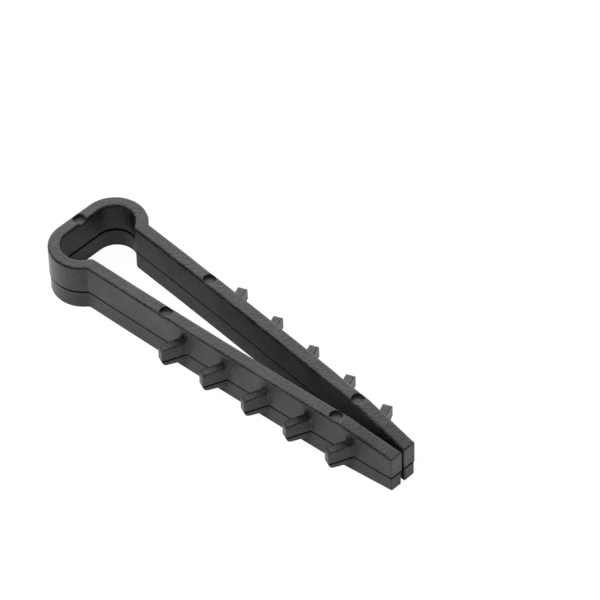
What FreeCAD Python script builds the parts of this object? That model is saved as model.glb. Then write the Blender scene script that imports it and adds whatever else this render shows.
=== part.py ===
import FreeCAD, Part
import math
import os
import Sketcher
from FreeCAD import Placement, Rotation, Vector

# A dowel cable tie for flat cable, in millimetres. It is one moulding that lies flat: X runs from
# the loop's end wall to the tip, Y across the two legs, Z up through the height of the strip.
# Both mould halves meet at the parting height. The lower half is a step smaller, less at the tip,
# and flush with the upper one in the loop's hollow.
SIZES = {
    # The strip and its parting plane
    "overall_length": 50.0,
    "strip_height": 6.25,
    "parting_height": 2.5,
    "parting_step": 0.09,
    "tip_step": 0.03,
    "rim_round": 0.22,
    "fine_round": 0.12,
    # The loop round the cable: two round ends, joined by a straight end wall
    "loop_radius": 3.86,
    "loop_spread": 2.4,
    "loop_wall": 1.46,
    # The legs, from the neck to the tip
    "neck_position": 8.06,
    "neck_half_gap": 3.08,
    "neck_thickness": 1.6,
    "tip_half_gap": 0.14,
    "tip_thickness": 1.7,
    "leg_bow": 0.21,
    "outer_neck_round": 0.5,
    "inner_neck_round": 0.8,
    # The wedge that eases the tip into the hole
    "taper_start": 42.9,
    "taper_top": 0.81,
    "taper_bottom": 0.52,
    # The barbs: plates on the legs' outer faces, raked back towards the loop
    "barb_count": 5,
    "first_barb": 21.52,
    "barb_pitch": 5.82,
    "barb_rake": 23.0,
    "barb_reach": 2.68,
    "barb_thickness": 0.98,
    "barb_bottom": 1.5,
    "barb_top": 4.5,
    "barb_slope": 0.25,
    "barb_corner": 0.6,
    "barb_root": 0.6,
    # The round marks of the ejector pins: the loop's breaks through the side of the cable
    "pin_mark_diameter": 1.45,
    "pin_mark_depth": 0.35,
    "pin_mark_loop": 0.86,
    "pin_mark_neck": 17.9,
    "pin_mark_tip": 41.85,
}

document = FreeCAD.newDocument("dowel_tie")
sheet = document.addObject("Spreadsheet::Sheet", "Sizes")
for row, (alias, number) in enumerate(SIZES.items(), start=1):
    sheet.set("A%d" % row, alias)
    sheet.set("B%d" % row, str(number))
    sheet.setAlias("B%d" % row, alias)
document.recompute()

body = document.addObject("PartDesign::Body", "DowelTie")
body.Label = "dowel_tie"
body.setExpression("Placement.Base.x", "-Sizes.overall_length / 2")

# Two points closer than this are the same; a run of edges goes on where it turns by under 12 degrees
SAME_POINT = 1e-4
SMOOTH_COSINE = math.cos(math.radians(12))


def origin_part(role):
    """One of the body's own planes or axes."""
    return next(part for part in body.Origin.OriginFeatures if part.Role == role)


def bound(text):
    """An expression in which each size stands in braces, written for the model's objects."""
    return text.replace("{", "Sizes.").replace("}", "")


def number_of(text):
    """What such an expression comes to."""
    return float(sheet.evalExpression(text.replace("{", "").replace("}", "")))


def new_sketch(name, role):
    """A sketch flat on one of the body's origin planes."""
    sketch = body.newObject("Sketcher::SketchObject", name)
    sketch.AttachmentSupport = [(origin_part(role), "")]
    sketch.MapMode = "FlatFace"
    return sketch


def dimension(sketch, kind, places, text):
    """Adds a dimension to a sketch and binds it to the sheet."""
    index = sketch.addConstraint(Sketcher.Constraint(kind, *places, number_of(text)))
    sketch.setExpression("Constraints[%d]" % index, bound(text))


def put_at(sketch, geometry, place, along, across):
    """Holds one point of a sketch at its two distances from the origin."""
    dimension(sketch, "DistanceX", (-1, 1, geometry, place), along)
    dimension(sketch, "DistanceY", (-1, 1, geometry, place), across)


def guide_point(sketch, along, across):
    """A construction point at a place that two expressions give."""
    point = sketch.addGeometry(Part.Point(Vector(number_of(along), number_of(across), 0)), True)
    put_at(sketch, point, 1, along, across)
    return point


def joined(sketch, kind, pairs):
    """Ties pairs of end points together, coincident or tangent."""
    for pair in pairs:
        sketch.addConstraint(Sketcher.Constraint(kind, *pair))


def leg_face(side, station):
    """A leg face's Y at a station: straight from the neck to the tip, and bowed outwards."""
    neck, tip = "{neck_half_gap}", "{tip_half_gap}"
    if side == "outer":
        neck, tip = "({neck_half_gap} + {neck_thickness})", "({tip_half_gap} + {tip_thickness})"
    share = "((%s - {neck_position}) / ({overall_length} - {neck_position}))" % station
    straight = "%s + (%s - %s) * %s" % (neck, tip, neck, share)
    bow = "4 * {leg_bow} * %s * (1 - %s)" % (share, share)
    return straight + " + " + bow


def leg_middle(station):
    """The Y of a leg's centre line at a station."""
    return "(%s + %s) / 2" % (leg_face("inner", station), leg_face("outer", station))


def circle_by_guides(sketch, guides):
    """The circle through three guide points: its centre and radius."""
    first, second, third = [sketch.getPoint(guide, 1) for guide in guides]
    circle = Part.Circle(first, second, third)
    return circle.Center, circle.Radius


def blend_centre(loop_centre, loop_reach, leg_centre, leg_reach):
    """The centre of a neck blend: at these reaches from the loop's centre and the leg arc's."""
    apart = leg_centre - loop_centre
    along = (loop_reach ** 2 - leg_reach ** 2 + apart.Length ** 2) / (2 * apart.Length)
    aside = math.sqrt(loop_reach ** 2 - along ** 2)
    unit = Vector(apart).normalize()
    sideways = Vector(-unit.y, unit.x, 0)
    crossings = [loop_centre + unit * along + sideways * way for way in (aside, -aside)]
    return max(crossings, key=lambda point: point.x)


def towards(centre, target, reach):
    """The point at a reach from a centre, towards a target."""
    return centre + Vector(target - centre).normalize() * reach


def arc_between(centre, start, end):
    """The arc about a centre that runs anticlockwise from one point to another."""
    angles = [math.atan2(point.y - centre.y, point.x - centre.x) for point in (start, end)]
    circle = Part.Circle(centre, Vector(0, 0, 1), (start - centre).Length)
    return Part.ArcOfCircle(circle, angles[0], angles[1])


# Plan of one half of the tie
def half_plan(name, height, inset, tip_inset):
    """Loop and leg on the +Y side, at a height, with the faces moved into the plastic by the insets."""
    sketch = new_sketch(name, "XY_Plane")
    sketch.setExpression("AttachmentOffset.Base.z", bound(height))
    stations = ("{neck_position}", "(({neck_position} + {overall_length}) / 2)", "{overall_length}")
    outer_guides = [guide_point(sketch, x, leg_face("outer", x) + " - " + inset) for x in stations]
    inner_guides = [guide_point(sketch, x, leg_face("inner", x) + " + " + inset) for x in stations]

    step = number_of(inset)
    wall = number_of("{loop_wall}")
    end = number_of("{overall_length}") - number_of(tip_inset)
    spread = number_of("{loop_spread}")
    loop_centre = Vector(number_of("{loop_radius}"), spread, 0)
    outer_radius = number_of("{loop_radius}") - step
    inner_radius = number_of("{loop_radius} - {loop_wall}")
    outer_blend = number_of("{outer_neck_round}") + step
    inner_blend = number_of("{inner_neck_round}")
    outer_centre, outer_bow = circle_by_guides(sketch, outer_guides)
    inner_centre, inner_bow = circle_by_guides(sketch, inner_guides)
    outer_hub = blend_centre(loop_centre, outer_radius + outer_blend, outer_centre, outer_bow + outer_blend)
    inner_hub = blend_centre(loop_centre, inner_radius + inner_blend, inner_centre, inner_bow + inner_blend)

    def at_end(centre, radius):
        return Vector(end, centre.y + math.sqrt(radius ** 2 - (end - centre.x) ** 2), 0)

    outer_neck = [towards(loop_centre, outer_hub, outer_radius)]
    outer_neck += [towards(outer_centre, outer_hub, outer_bow)]
    inner_neck = [towards(loop_centre, inner_hub, inner_radius)]
    inner_neck += [towards(inner_centre, inner_hub, inner_bow)]
    outer_tip = at_end(outer_centre, outer_bow)
    inner_tip = at_end(inner_centre, inner_bow)
    end_wall = [Vector(step, 0, 0), Vector(step, spread, 0)]
    cable_wall = [Vector(wall, spread, 0), Vector(wall, 0, 0)]

    back = sketch.addGeometry(Part.LineSegment(*end_wall))
    bulb = sketch.addGeometry(arc_between(loop_centre, outer_neck[0], end_wall[1]))
    crease = sketch.addGeometry(arc_between(outer_hub, outer_neck[0], outer_neck[1]))
    outside = sketch.addGeometry(arc_between(outer_centre, outer_tip, outer_neck[1]))
    tip = sketch.addGeometry(Part.LineSegment(outer_tip, inner_tip))
    inside = sketch.addGeometry(arc_between(inner_centre, inner_tip, inner_neck[1]))
    lip = sketch.addGeometry(arc_between(inner_hub, inner_neck[0], inner_neck[1]))
    hollow = sketch.addGeometry(arc_between(loop_centre, inner_neck[0], cable_wall[0]))
    front = sketch.addGeometry(Part.LineSegment(*cable_wall))
    seam = sketch.addGeometry(Part.LineSegment(cable_wall[1], end_wall[0]))

    joined(sketch, "Tangent", [(back, 2, bulb, 2), (bulb, 1, crease, 1), (crease, 2, outside, 2)])
    joined(sketch, "Tangent", [(inside, 2, lip, 2), (lip, 1, hollow, 1), (hollow, 2, front, 1)])
    joined(sketch, "Coincident", [(outside, 1, tip, 1), (tip, 2, inside, 1), (front, 2, seam, 1)])
    joined(sketch, "Coincident", [(seam, 2, back, 1), (bulb, 3, hollow, 3)])
    joined(sketch, "Vertical", [(back,), (tip,), (front,)])
    joined(sketch, "PointOnObject", [(back, 1, -1), (front, 2, -1)])
    joined(sketch, "PointOnObject", [(guide, 1, outside) for guide in outer_guides])
    joined(sketch, "PointOnObject", [(guide, 1, inside) for guide in inner_guides])
    put_at(sketch, bulb, 3, "{loop_radius}", "{loop_spread}")
    dimension(sketch, "DistanceX", (-1, 1, tip, 1), "{overall_length} - " + tip_inset)
    dimension(sketch, "Radius", (bulb,), "{loop_radius} - " + inset)
    dimension(sketch, "Radius", (hollow,), "{loop_radius} - {loop_wall}")
    dimension(sketch, "Radius", (crease,), "{outer_neck_round} + " + inset)
    dimension(sketch, "Radius", (lip,), "{inner_neck_round}")
    return sketch


def pad(name, sketch, length, reverse=False):
    """A pad of a sketch, its length bound to the sheet."""
    feature = body.newObject("PartDesign::Pad", name)
    feature.Profile = sketch
    feature.setExpression("Length", bound(length))
    feature.Reversed = reverse
    return feature


# The strip in its two mould halves, mirrored to the other leg
upper_plan = half_plan("UpperPlan", "{parting_height}", "0", "0")
upper = pad("UpperHalf", upper_plan, "{strip_height} - {parting_height}")
lower_plan = half_plan("LowerPlan", "0", "{parting_step}", "{tip_step}")
lower = pad("LowerHalf", lower_plan, "{parting_height}")
document.recompute()
both = body.newObject("PartDesign::Mirrored", "BothLegs")
both.Originals = [upper, lower]
both.MirrorPlane = (origin_part("XZ_Plane"), [""])
body.Tip = both
document.recompute()


def straight_outline(sketch, corners):
    """A closed outline of straight lines between corners that pairs of expressions give."""
    points = [Vector(number_of(along), number_of(across), 0) for along, across in corners]
    ring = list(zip(points, points[1:] + points[:1]))
    lines = [sketch.addGeometry(Part.LineSegment(first, second)) for first, second in ring]
    following = lines[1:] + lines[:1]
    joined(sketch, "Coincident", [(line, 2, after, 1) for line, after in zip(lines, following)])
    for line, (along, across) in zip(lines, corners):
        put_at(sketch, line, 1, along, across)


def pocket(name, sketch, length=""):
    """A pocket of a sketch: to a bound depth, or right through both ways."""
    feature = body.newObject("PartDesign::Pocket", name)
    feature.Profile = sketch
    if length:
        feature.setExpression("Length", bound(length))
    else:
        feature.Type = "ThroughAll"
        feature.SideType = "Symmetric"
    return feature


# The wedge at the tip
taper_plan = new_sketch("TaperPlan", "XZ_Plane")
for level, end_level in (("{strip_height}", "{strip_height} - {taper_top}"), ("0", "{taper_bottom}")):
    straight_outline(taper_plan, [
        ("{taper_start}", level),
        ("{overall_length}", level),
        ("{overall_length}", end_level),
    ])
taper = pocket("Taper", taper_plan)
document.recompute()


def heading_at(edge, corner):
    """The direction of an edge at one of its ends."""
    nearest = min(edge.ParameterRange, key=lambda place: edge.valueAt(place).distanceToPoint(corner))
    return edge.tangentAt(nearest).normalize()


def smooth_run(shape, x, z):
    """The edges that carry on, with no sharp corner, from the one that crosses Y = 0 here."""
    edges = shape.Edges
    start = min(range(len(edges)), key=lambda k: edges[k].distToShape(Part.Vertex(x, 0, z))[0])
    run = [start]
    ends = [(start, corner.Point) for corner in edges[start].Vertexes]
    while ends:
        index, corner = ends.pop()
        heading = heading_at(edges[index], corner)
        for other, edge in enumerate(edges):
            far_ends = [place.Point for place in edge.Vertexes]
            far_ends = [place for place in far_ends if place.distanceToPoint(corner) > SAME_POINT]
            if other in run or len(far_ends) == len(edge.Vertexes):
                continue
            if abs(heading.dot(heading_at(edge, corner))) > SMOOTH_COSINE:
                run.append(other)
                ends.extend((other, place) for place in far_ends)
    return run


def tip_edges(shape):
    """The edges of the legs' end faces, apart from those in the parting plane."""
    found = []
    end_faces = [number_of("{overall_length}"), number_of("{overall_length} - {tip_step}")]
    for index, edge in enumerate(shape.Edges):
        in_face = any(max(abs(place.X - end) for place in edge.Vertexes) < SAME_POINT for end in end_faces)
        off_parting = abs(edge.CenterOfMass.z - number_of("{parting_height}")) > SAME_POINT
        if in_face and off_parting:
            found.append(index)
    return found


def fillet(name, base, edges, radius):
    """A rounding of numbered edges, its radius bound to the sheet."""
    feature = body.newObject("PartDesign::Fillet", name)
    feature.Base = (base, ["Edge%d" % (index + 1) for index in edges])
    feature.setExpression("Radius", bound(radius))
    document.recompute()
    return feature


# Soft rims above, inside and out, and below outside; fine edges below inside and round the tips
upper_level = number_of("{strip_height}")
soft_edges = smooth_run(taper.Shape, 0, upper_level)
soft_edges += smooth_run(taper.Shape, number_of("{loop_wall}"), upper_level)
soft_edges += smooth_run(taper.Shape, number_of("{parting_step}"), 0)
soft = fillet("SoftRims", taper, soft_edges, "{rim_round}")
fine_edges = smooth_run(soft.Shape, number_of("{loop_wall}"), 0)
fine_edges += tip_edges(soft.Shape)
fine = fillet("FineEdges", soft, fine_edges, "{fine_round}")


# One barb in its two mould halves
def barb_half(name, way, inset):
    """Half of a barb's outline in its own slanting plane, above (1) or below (-1) the parting plane."""
    sketch = new_sketch(name, "YZ_Plane")
    sketch.AttachmentOffset = Placement(Vector(), Rotation(Vector(0, 1, 0), 1))
    sketch.setExpression("AttachmentOffset.Rotation.Angle", bound("{barb_rake}"))
    root = leg_face("outer", "{first_barb}")
    sketch.setExpression("AttachmentOffset.Base.x", bound("%s - %s * sin({barb_rake})" % (root, inset)))
    sketch.setExpression("AttachmentOffset.Base.z", bound("{first_barb} - %s * cos({barb_rake})" % inset))

    level = "{parting_height}"
    at_root = "{barb_top} - " + inset if way > 0 else "{barb_bottom} + " + inset
    at_end = "%s %s {barb_slope}" % (at_root, "-" if way > 0 else "+")
    reach = "{barb_reach} / cos({barb_rake}) - " + inset
    length = number_of(reach)
    corner = number_of("{barb_corner}")
    slope = math.atan2(number_of(at_end) - number_of(at_root), length)

    def edge_height(along):
        return number_of(at_root) + math.tan(slope) * along

    hub = Vector(length - corner, edge_height(length - corner) - way * corner / math.cos(slope), 0)
    shoulder = hub + Vector(-math.sin(slope), math.cos(slope), 0) * corner * way
    cheek = hub + Vector(corner, 0, 0)
    inner = -number_of("{barb_root}")
    root_foot = Vector(inner, number_of(level), 0)
    end_foot = Vector(length, number_of(level), 0)
    root_top = Vector(inner, edge_height(inner), 0)

    foot = sketch.addGeometry(Part.LineSegment(root_foot, end_foot))
    nose = sketch.addGeometry(Part.LineSegment(end_foot, cheek))
    ends = (cheek, shoulder) if way > 0 else (shoulder, cheek)
    bend = sketch.addGeometry(arc_between(hub, *ends))
    ridge = sketch.addGeometry(Part.LineSegment(shoulder, root_top))
    stem = sketch.addGeometry(Part.LineSegment(root_top, root_foot))
    guides = [guide_point(sketch, "0", at_root), guide_point(sketch, reach, at_end)]
    first, last = (1, 2) if way > 0 else (2, 1)
    joined(sketch, "Coincident", [(foot, 2, nose, 1), (ridge, 2, stem, 1), (stem, 2, foot, 1)])
    joined(sketch, "Tangent", [(nose, 2, bend, first), (bend, last, ridge, 1)])
    joined(sketch, "Horizontal", [(foot,)])
    joined(sketch, "Vertical", [(nose,), (stem,)])
    joined(sketch, "PointOnObject", [(guide, 1, ridge) for guide in guides])
    put_at(sketch, foot, 1, "-{barb_root}", level)
    dimension(sketch, "DistanceX", (-1, 1, foot, 2), reach)
    dimension(sketch, "Radius", (bend,), "{barb_corner}")
    return sketch


upper_face = barb_half("UpperBarbPlan", 1, "0")
upper_barb = pad("UpperBarb", upper_face, "{barb_thickness}", reverse=True)
lower_face = barb_half("LowerBarbPlan", -1, "{parting_step}")
lower_barb = pad("LowerBarb", lower_face, "{barb_thickness} - 2 * {parting_step}", reverse=True)
document.recompute()

# The row of barbs: a pattern from the first root to the last along the leg, then the other leg
root_line = new_sketch("BarbRoots", "XY_Plane")
last_barb = "({first_barb} + ({barb_count} - 1) * {barb_pitch})"
root_ends = [(x, leg_face("outer", x)) for x in ("{first_barb}", last_barb)]
root_points = [Vector(number_of(along), number_of(across), 0) for along, across in root_ends]
row = root_line.addGeometry(Part.LineSegment(*root_points), True)
for place, (along, across) in enumerate(root_ends, start=1):
    put_at(root_line, row, place, along, across)
barbs = body.newObject("PartDesign::MultiTransform", "Barbs")
barbs.Originals = [upper_barb, lower_barb]
pattern = document.addObject("PartDesign::LinearPattern", "BarbRow")
pattern.Direction = (root_line, ["Axis0"])
pattern.setExpression("Length", bound("sqrt((%s - {first_barb}) ^ 2 + (%s - %s) ^ 2)" % (
    last_barb, root_ends[1][1], root_ends[0][1])))
pattern.setExpression("Occurrences", bound("{barb_count}"))
other_leg = document.addObject("PartDesign::Mirrored", "OtherLeg")
other_leg.MirrorPlane = (origin_part("XZ_Plane"), [""])
barbs.Transformations = [pattern, other_leg]
body.Tip = barbs
document.recompute()

# The ejector marks: one in the end wall, two on each leg
mark_plan = new_sketch("PinMarkPlan", "XY_Plane")
mark_plan.setExpression("AttachmentOffset.Base.z", bound("{strip_height}"))
places = [("{pin_mark_loop}", "0")]
for station in ("{pin_mark_neck}", "{pin_mark_tip}"):
    places += [(station, leg_middle(station)), (station, "-(%s)" % leg_middle(station))]
for along, across in places:
    centre = Vector(number_of(along), number_of(across), 0)
    circle = Part.Circle(centre, Vector(0, 0, 1), number_of("{pin_mark_diameter} / 2"))
    mark = mark_plan.addGeometry(circle)
    put_at(mark_plan, mark, 3, along, across)
    dimension(mark_plan, "Radius", (mark,), "{pin_mark_diameter} / 2")
marks = pocket("PinMarks", mark_plan, "{pin_mark_depth}")
body.Tip = marks
document.recompute()

# Checks before the file is written
for thing in document.Objects:
    if "Invalid" in thing.State or "Error" in thing.State:
        raise RuntimeError("%s did not build" % thing.Name)
shape = body.Shape
if shape.isNull() or not shape.isValid() or len(shape.Solids) != 1:
    raise RuntimeError("%s is not one sound solid" % body.Label)

os.makedirs("parts", exist_ok=True)
shape.exportStep("parts/%s.step" % body.Label)
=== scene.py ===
import math
import bpy
from mathutils import Matrix, Vector

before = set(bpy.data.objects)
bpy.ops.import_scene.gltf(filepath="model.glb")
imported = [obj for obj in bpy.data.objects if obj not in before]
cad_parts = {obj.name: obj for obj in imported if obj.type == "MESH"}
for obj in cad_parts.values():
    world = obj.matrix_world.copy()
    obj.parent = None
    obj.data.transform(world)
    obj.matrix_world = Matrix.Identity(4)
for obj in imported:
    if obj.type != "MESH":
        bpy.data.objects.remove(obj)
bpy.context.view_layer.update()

bpy.ops.object.select_all(action="DESELECT")

# The tie, an injection moulding in black plastic with a satin skin: loop, legs and barbs in one.
# Light sparking of the mould leaves a fine grain. The two mould halves meet in a small step at
# the parting height, and the shade under it is painted as a near-black witness line that mirrors
# nothing.
# Below it the colour is painted a little darker, as shade near the tabletop.
TIE_BLACK = (0.0015, 0.0015, 0.0016, 1)
TIE_WORN = (0.02, 0.02, 0.0205, 1)
WITNESS_SHADE_BLACK = (0.002, 0.002, 0.002, 1)
LOWER_HALF_SHADE = 0.7
PARTING_HEIGHT = 0.0025
WITNESS_SHADE_HALF_WIDTH = 0.00017
WITNESS_SHADE_FADE = (0.8, 1.2)
EDGE_SOFTNESS = 0.0003
EDGE_SAMPLES = 8
CLOUD_SIZE = 0.004
CLOUD_DETAIL = 4
GRAIN_SIZE = 0.00022
GRAIN_DETAIL = 3
GRAIN_DEPTH = 0.00008
SPECKLE_RANGE = (0.86, 1.14)
SATIN_ROUGHNESS = (0.28, 0.38)

tie_plastic = bpy.data.materials.new("satin_black_plastic")
tie_plastic.use_nodes = True
nodes = tie_plastic.node_tree.nodes
links = tie_plastic.node_tree.links
skin = nodes["Principled BSDF"]

place = nodes.new("ShaderNodeTexCoord")
height = nodes.new("ShaderNodeSeparateXYZ")
links.new(place.outputs["Object"], height.inputs["Vector"])

clouds = nodes.new("ShaderNodeTexNoise")
clouds.inputs["Scale"].default_value = 1 / CLOUD_SIZE
clouds.inputs["Detail"].default_value = CLOUD_DETAIL
links.new(place.outputs["Object"], clouds.inputs["Vector"])
grain = nodes.new("ShaderNodeTexNoise")
grain.inputs["Scale"].default_value = 1 / GRAIN_SIZE
grain.inputs["Detail"].default_value = GRAIN_DETAIL
links.new(place.outputs["Object"], grain.inputs["Vector"])
clouds_and_grain = nodes.new("ShaderNodeMath")
clouds_and_grain.operation = "ADD"
links.new(clouds.outputs["Fac"], clouds_and_grain.inputs[0])
links.new(grain.outputs["Fac"], clouds_and_grain.inputs[1])
speckle = nodes.new("ShaderNodeMapRange")
speckle.inputs["From Min"].default_value = SPECKLE_RANGE[0]
speckle.inputs["From Max"].default_value = SPECKLE_RANGE[1]
links.new(clouds_and_grain.outputs["Value"], speckle.inputs["Value"])
clouded_colour = nodes.new("ShaderNodeMix")
clouded_colour.data_type = "RGBA"
clouded_colour.inputs["A"].default_value = TIE_BLACK
clouded_colour.inputs["B"].default_value = TIE_WORN
links.new(speckle.outputs["Result"], clouded_colour.inputs["Factor"])

# Painted shade: below the parting height the colour is scaled darker, standing in for the shade
# near the tabletop.
painted_lower_shade = nodes.new("ShaderNodeMapRange")
painted_lower_shade.inputs["From Min"].default_value = PARTING_HEIGHT - WITNESS_SHADE_HALF_WIDTH
painted_lower_shade.inputs["From Max"].default_value = PARTING_HEIGHT + WITNESS_SHADE_HALF_WIDTH
painted_lower_shade.inputs["To Min"].default_value = LOWER_HALF_SHADE
painted_lower_shade.inputs["To Max"].default_value = 1
links.new(height.outputs["Z"], painted_lower_shade.inputs["Value"])
half_shaded_colour = nodes.new("ShaderNodeVectorMath")
half_shaded_colour.operation = "SCALE"
links.new(clouded_colour.outputs["Result"], half_shaded_colour.inputs[0])
links.new(painted_lower_shade.outputs["Result"], half_shaded_colour.inputs["Scale"])

# Painted shade: a near-black band at the parting height stands in for the shade under the parting
# step.
from_parting = nodes.new("ShaderNodeMath")
from_parting.operation = "SUBTRACT"
from_parting.inputs[1].default_value = PARTING_HEIGHT
links.new(height.outputs["Z"], from_parting.inputs[0])
distance = nodes.new("ShaderNodeMath")
distance.operation = "ABSOLUTE"
links.new(from_parting.outputs["Value"], distance.inputs[0])
witness_shade_mask = nodes.new("ShaderNodeMapRange")
witness_shade_mask.interpolation_type = "SMOOTHSTEP"
witness_shade_mask.inputs["From Min"].default_value = WITNESS_SHADE_HALF_WIDTH * WITNESS_SHADE_FADE[0]
witness_shade_mask.inputs["From Max"].default_value = WITNESS_SHADE_HALF_WIDTH * WITNESS_SHADE_FADE[1]
witness_shade_mask.inputs["To Min"].default_value = 1
witness_shade_mask.inputs["To Max"].default_value = 0
links.new(distance.outputs["Value"], witness_shade_mask.inputs["Value"])
witness_shaded_colour = nodes.new("ShaderNodeMix")
witness_shaded_colour.data_type = "RGBA"
witness_shaded_colour.inputs["B"].default_value = WITNESS_SHADE_BLACK
links.new(witness_shade_mask.outputs["Result"], witness_shaded_colour.inputs["Factor"])
links.new(half_shaded_colour.outputs["Vector"], witness_shaded_colour.inputs["A"])
links.new(witness_shaded_colour.outputs["Result"], skin.inputs["Base Color"])
# The band is made metallic, so it mirrors nothing and stays dark as painted shade.
links.new(witness_shade_mask.outputs["Result"], skin.inputs["Metallic"])

dull = nodes.new("ShaderNodeMapRange")
dull.inputs["To Min"].default_value = SATIN_ROUGHNESS[0]
dull.inputs["To Max"].default_value = SATIN_ROUGHNESS[1]
links.new(clouds.outputs["Fac"], dull.inputs["Value"])
dull_and_witness_shade = nodes.new("ShaderNodeMath")
dull_and_witness_shade.operation = "MAXIMUM"
links.new(dull.outputs["Result"], dull_and_witness_shade.inputs[0])
links.new(witness_shade_mask.outputs["Result"], dull_and_witness_shade.inputs[1])
links.new(dull_and_witness_shade.outputs["Value"], skin.inputs["Roughness"])
soft_edges = nodes.new("ShaderNodeBevel")
soft_edges.samples = EDGE_SAMPLES
soft_edges.inputs["Radius"].default_value = EDGE_SOFTNESS

grain_bump = nodes.new("ShaderNodeBump")
grain_bump.inputs["Distance"].default_value = GRAIN_DEPTH
grain_bump.inputs["Strength"].default_value = 1
links.new(grain.outputs["Fac"], grain_bump.inputs["Height"])
links.new(soft_edges.outputs["Normal"], grain_bump.inputs["Normal"])
links.new(grain_bump.outputs["Normal"], skin.inputs["Normal"])

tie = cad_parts["dowel_tie"]
tie.data.materials.clear()
tie.data.materials.append(tie_plastic)

# The tabletop that the tie lies on: a plain pale sheet, larger than any view of the tie. The tie
# mirrors it as a matt sheet. To the camera it reads as white, with a faint shadow under the legs.
TABLETOP_SIZE = 4.0
TABLETOP_DROP = 0.00002
TABLETOP_WHITE = (0.85, 0.85, 0.85, 1)
SHADOW_SHARE = 0.09
CAMERA_GLOW = 0.94

bpy.ops.mesh.primitive_plane_add(size=TABLETOP_SIZE, location=(0, 0, -TABLETOP_DROP))
tabletop = bpy.context.object
tabletop.name = "tabletop"
sheet_white = bpy.data.materials.new("tabletop_white")
sheet_white.use_nodes = True
nodes = sheet_white.node_tree.nodes
links = sheet_white.node_tree.links
nodes.remove(nodes["Principled BSDF"])
matt = nodes.new("ShaderNodeBsdfDiffuse")
matt.inputs["Color"].default_value = TABLETOP_WHITE
faint = nodes.new("ShaderNodeBsdfDiffuse")
faint.inputs["Color"].default_value = (SHADOW_SHARE, SHADOW_SHARE, SHADOW_SHARE, 1)
glow = nodes.new("ShaderNodeEmission")
glow.inputs["Strength"].default_value = CAMERA_GLOW
seen = nodes.new("ShaderNodeAddShader")
links.new(faint.outputs["BSDF"], seen.inputs[0])
links.new(glow.outputs["Emission"], seen.inputs[1])
ray = nodes.new("ShaderNodeLightPath")
by_ray = nodes.new("ShaderNodeMixShader")
links.new(ray.outputs["Is Camera Ray"], by_ray.inputs["Fac"])
links.new(matt.outputs["BSDF"], by_ray.inputs[1])
links.new(seen.outputs["Shader"], by_ray.inputs[2])
links.new(by_ray.outputs["Shader"], nodes["Material Output"].inputs["Surface"])
tabletop.data.materials.append(sheet_white)

# The studio round the table: a pale backdrop behind the tie, a dim room on the camera's side, and
# two softboxes in front, which leave the gap between the legs dark. The plastic mirrors the
# backdrop and not the softboxes, and to the camera the backdrop is white.
BACKDROP_LIGHT = 2.33
ROOM_LIGHT = 0.2
BACKDROP_SIDE = Vector((-0.663, 0.618, 0.423))
ROOM_EDGE = 0.5
BACKDROP_EDGE = 0.95
WHITE = (1, 1, 1, 1)
SOFTBOXES = {
    "softbox_low_by_the_loop": {"from": (-0.432, -0.432, 0.222), "size": 0.25, "watts": 3.3},
    "softbox_high_in_front": {"from": (0, -0.325, 0.563), "size": 0.25, "watts": 2.6},
}

room = bpy.data.worlds.new("pale_room")
room.use_nodes = True
bpy.context.scene.world = room
nodes = room.node_tree.nodes
links = room.node_tree.links
room_light = nodes["Background"]
room_light.inputs["Color"].default_value = WHITE
direction = nodes.new("ShaderNodeTexCoord")
backdrop_share = nodes.new("ShaderNodeVectorMath")
backdrop_share.operation = "DOT_PRODUCT"
backdrop_share.inputs[1].default_value = BACKDROP_SIDE
links.new(direction.outputs["Generated"], backdrop_share.inputs[0])
brightness = nodes.new("ShaderNodeMapRange")
brightness.interpolation_type = "SMOOTHSTEP"
brightness.inputs["From Min"].default_value = ROOM_EDGE
brightness.inputs["From Max"].default_value = BACKDROP_EDGE
brightness.inputs["To Min"].default_value = ROOM_LIGHT
brightness.inputs["To Max"].default_value = BACKDROP_LIGHT
links.new(backdrop_share.outputs["Value"], brightness.inputs["Value"])
links.new(brightness.outputs["Result"], room_light.inputs["Strength"])
seen_white = nodes.new("ShaderNodeBackground")
seen_white.inputs["Color"].default_value = WHITE
seen_white.inputs["Strength"].default_value = 1
ray = nodes.new("ShaderNodeLightPath")
by_ray = nodes.new("ShaderNodeMixShader")
links.new(ray.outputs["Is Camera Ray"], by_ray.inputs["Fac"])
links.new(room_light.outputs["Background"], by_ray.inputs[1])
links.new(seen_white.outputs["Background"], by_ray.inputs[2])
links.new(by_ray.outputs["Shader"], nodes["World Output"].inputs["Surface"])

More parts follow.
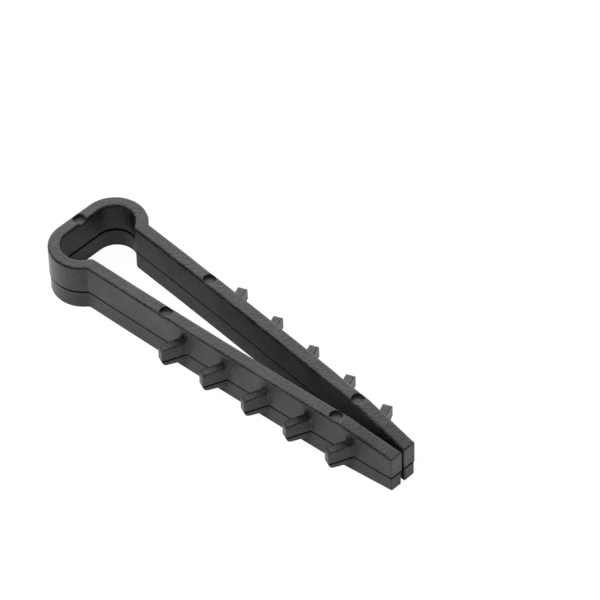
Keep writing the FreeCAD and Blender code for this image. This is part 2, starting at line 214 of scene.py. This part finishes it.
for name, softbox in SOFTBOXES.items():
    light = bpy.data.lights.new(name, "AREA")
    light.shape = "SQUARE"
    light.size = softbox["size"]
    light.energy = softbox["watts"]
    stand = bpy.data.objects.new(name, light)
    bpy.context.collection.objects.link(stand)
    stand.location = softbox["from"]
    stand.visible_glossy = False
    stand.rotation_euler = (-Vector(softbox["from"])).to_track_quat("-Z", "Y").to_euler()

# The camera: a long lens half a metre away, level with the tie's own corner at 45 degrees,
# aimed so that the tie lies in the left half of the square picture, as photographed.
PICTURE_WIDTH = 600
CAMERA_TURN = math.radians(45.088)
CAMERA_HEIGHT_ANGLE = math.radians(46.279)
CAMERA_ROLL = math.radians(-1.282)
CAMERA_DISTANCE = 0.504112
FOCAL_PIXELS = 4628.325
TIE_MIDDLE_PIXEL = (235.88, 367.38)
SENSOR_WIDTH_MM = 36
NEAREST_SEEN = 0.01
FARTHEST_SEEN = 10

turn_right = Vector((math.cos(CAMERA_TURN), math.sin(CAMERA_TURN), 0))
backward = Vector((
    math.sin(CAMERA_TURN) * math.cos(CAMERA_HEIGHT_ANGLE),
    -math.cos(CAMERA_TURN) * math.cos(CAMERA_HEIGHT_ANGLE),
    math.sin(CAMERA_HEIGHT_ANGLE),
))
upward = backward.cross(turn_right)
rolled_right = turn_right * math.cos(CAMERA_ROLL) + upward * math.sin(CAMERA_ROLL)
rolled_up = upward * math.cos(CAMERA_ROLL) - turn_right * math.sin(CAMERA_ROLL)
aside = (TIE_MIDDLE_PIXEL[0] - PICTURE_WIDTH / 2) / FOCAL_PIXELS * CAMERA_DISTANCE
above = (PICTURE_WIDTH / 2 - TIE_MIDDLE_PIXEL[1]) / FOCAL_PIXELS * CAMERA_DISTANCE

lens = bpy.data.cameras.new("camera")
lens.sensor_width = SENSOR_WIDTH_MM
lens.lens = FOCAL_PIXELS / PICTURE_WIDTH * SENSOR_WIDTH_MM
lens.clip_start = NEAREST_SEEN
lens.clip_end = FARTHEST_SEEN
camera = bpy.data.objects.new("camera", lens)
bpy.context.collection.objects.link(camera)
spot = backward * CAMERA_DISTANCE - rolled_right * aside - rolled_up * above
heading = Matrix((rolled_right, rolled_up, backward)).transposed().to_4x4()
camera.matrix_world = Matrix.Translation(spot) @ heading
bpy.context.scene.camera = camera
bpy.context.scene.view_settings.view_transform = "Standard"
